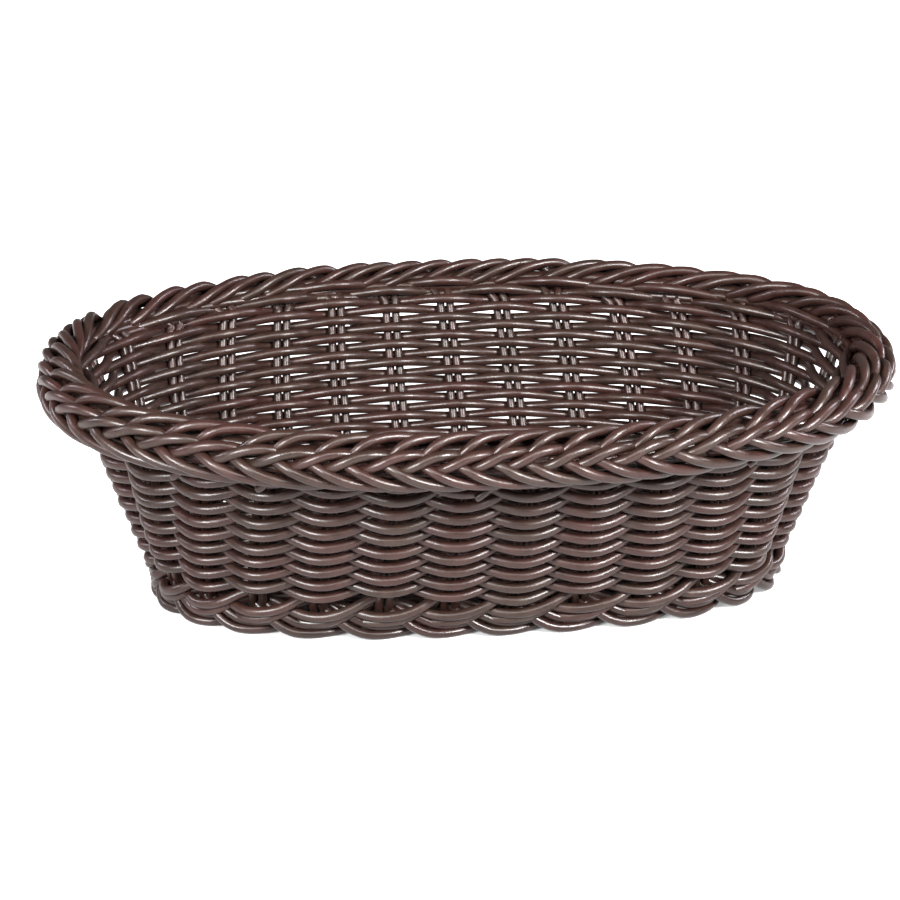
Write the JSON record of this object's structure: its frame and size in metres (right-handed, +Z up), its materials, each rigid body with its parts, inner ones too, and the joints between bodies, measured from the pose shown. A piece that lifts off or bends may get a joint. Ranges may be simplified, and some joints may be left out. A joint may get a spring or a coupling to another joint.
{
  "type": "woven oval bread basket",
  "caption": "Flared oval bread basket woven from dark brown round strand, with paired stakes, a braided rolled rim, a scalloped foot and an open top.",
  "frame": {"origin": "centre of the foot on the table, at the bottom of the basket", "axes": "+X along the long way of the oval, +Y across it towards the back, +Z up out of the open top"},
  "size_m": [0.2404, 0.1678, 0.074],
  "materials": {
    "side_strand": "satin dark brown extruded strand with fine lengthwise streaks",
    "stake_strand": "satin dark brown extruded strand with fine lengthwise streaks",
    "rim_strand": "satin dark brown extruded strand with fine lengthwise streaks",
    "foot_strand": "satin dark brown extruded strand with fine lengthwise streaks",
    "base_strand": "satin dark brown extruded strand with fine lengthwise streaks"
  },
  "bodies": {
    "root": {"base_cross_sticks": "base_strand", "base_long_sticks": "base_strand", "base_centre_weave": "base_strand", "base_edge_weave": "base_strand", "foot_border_lower": "foot_strand", "foot_border_upper": "foot_strand", "bottom_waling": "foot_strand", "side_weaver_1": "side_strand", "side_weaver_2": "side_strand", "side_weaver_3": "side_strand", "side_weaver_4": "side_strand", "side_weaver_5": "side_strand", "side_weaver_6": "side_strand", "side_weaver_7": "side_strand", "side_weaver_8": "side_strand", "stakes_front": "stake_strand", "stakes_back": "stake_strand", "stakes_left_end": "stake_strand", "stakes_right_end": "stake_strand", "rim_braid_outer": "rim_strand", "rim_braid_middle": "rim_strand", "rim_braid_inner": "rim_strand", "cut_ends": "rim_strand"}
  },
  "joints": []
}
